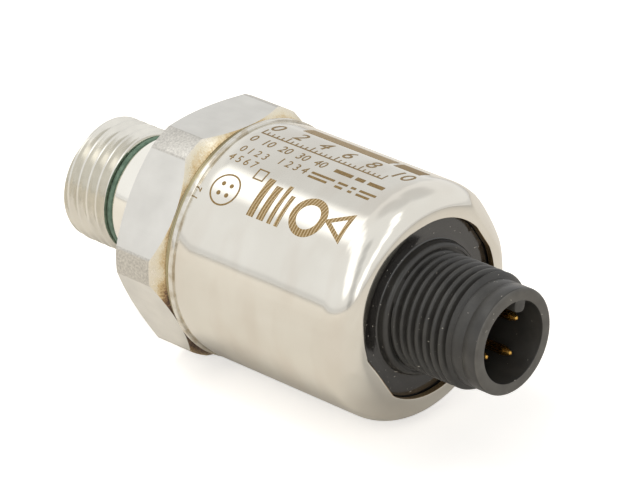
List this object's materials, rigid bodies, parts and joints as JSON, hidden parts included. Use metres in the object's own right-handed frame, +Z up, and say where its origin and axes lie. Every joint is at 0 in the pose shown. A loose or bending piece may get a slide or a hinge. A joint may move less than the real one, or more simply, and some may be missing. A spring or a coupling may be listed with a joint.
{
  "type": "pressure transmitter",
  "caption": "Compact pressure transmitter: threaded process stud with seal ring, hexagon, polished steel can and a black round threaded electrical plug, lying on its side.",
  "frame": {"origin": "on the long axis, in the plane of the hexagon's face on the stud side, a point on the axis of the pressure port", "axes": "+X along the axis from the stud to the plug; +Z up, with one hexagon flat facing straight down, as the part lies on a table"},
  "size_m": [0.0555, 0.0262, 0.0248],
  "materials": {
    "turned_steel": "turned",
    "polished_steel": "polished",
    "green_rubber": "satin",
    "black_rubber": "satin",
    "black_plastic": "satin",
    "white_plastic": "matt",
    "grey_plastic": "matt",
    "gold_plate": "plated",
    "white_ceramic": "matt",
    "bond_glass": "clear",
    "circuit_board": "lacquered",
    "chip_plastic": "matt",
    "capacitor_ceramic": "matt",
    "red_wire": "smooth",
    "blue_wire": "smooth",
    "brown_wire": "smooth"
  },
  "bodies": {
    "root": {"process_fitting": "turned_steel", "stud_seal_ring": "green_rubber", "can_housing": "polished_steel", "connector_body": "black_plastic", "contact_pin_1": "gold_plate", "contact_pin_2": "gold_plate", "contact_pin_3": "gold_plate", "contact_pin_4": "gold_plate", "connector_seal": "black_rubber", "cell_seal": "black_rubber", "cell_diaphragm": "white_ceramic", "cell_glass_bond": "bond_glass", "cell_body": "white_ceramic", "cell_lead_1": "gold_plate", "cell_lead_2": "gold_plate", "cell_lead_3": "gold_plate", "cell_lead_4": "gold_plate", "pressure_washer": "white_plastic", "retaining_ring": "turned_steel", "board_carrier": "grey_plastic", "main_board": "circuit_board", "pin_board": "circuit_board", "signal_chip": "chip_plastic", "voltage_regulator": "chip_plastic", "capacitor_1": "capacitor_ceramic", "capacitor_2": "capacitor_ceramic", "capacitor_3": "capacitor_ceramic", "ground_pin": "gold_plate", "wire_1": "red_wire", "wire_2": "blue_wire", "wire_3": "brown_wire", "vent_membrane": "white_plastic", "spacer_tube": "grey_plastic"}
  },
  "joints": []
}
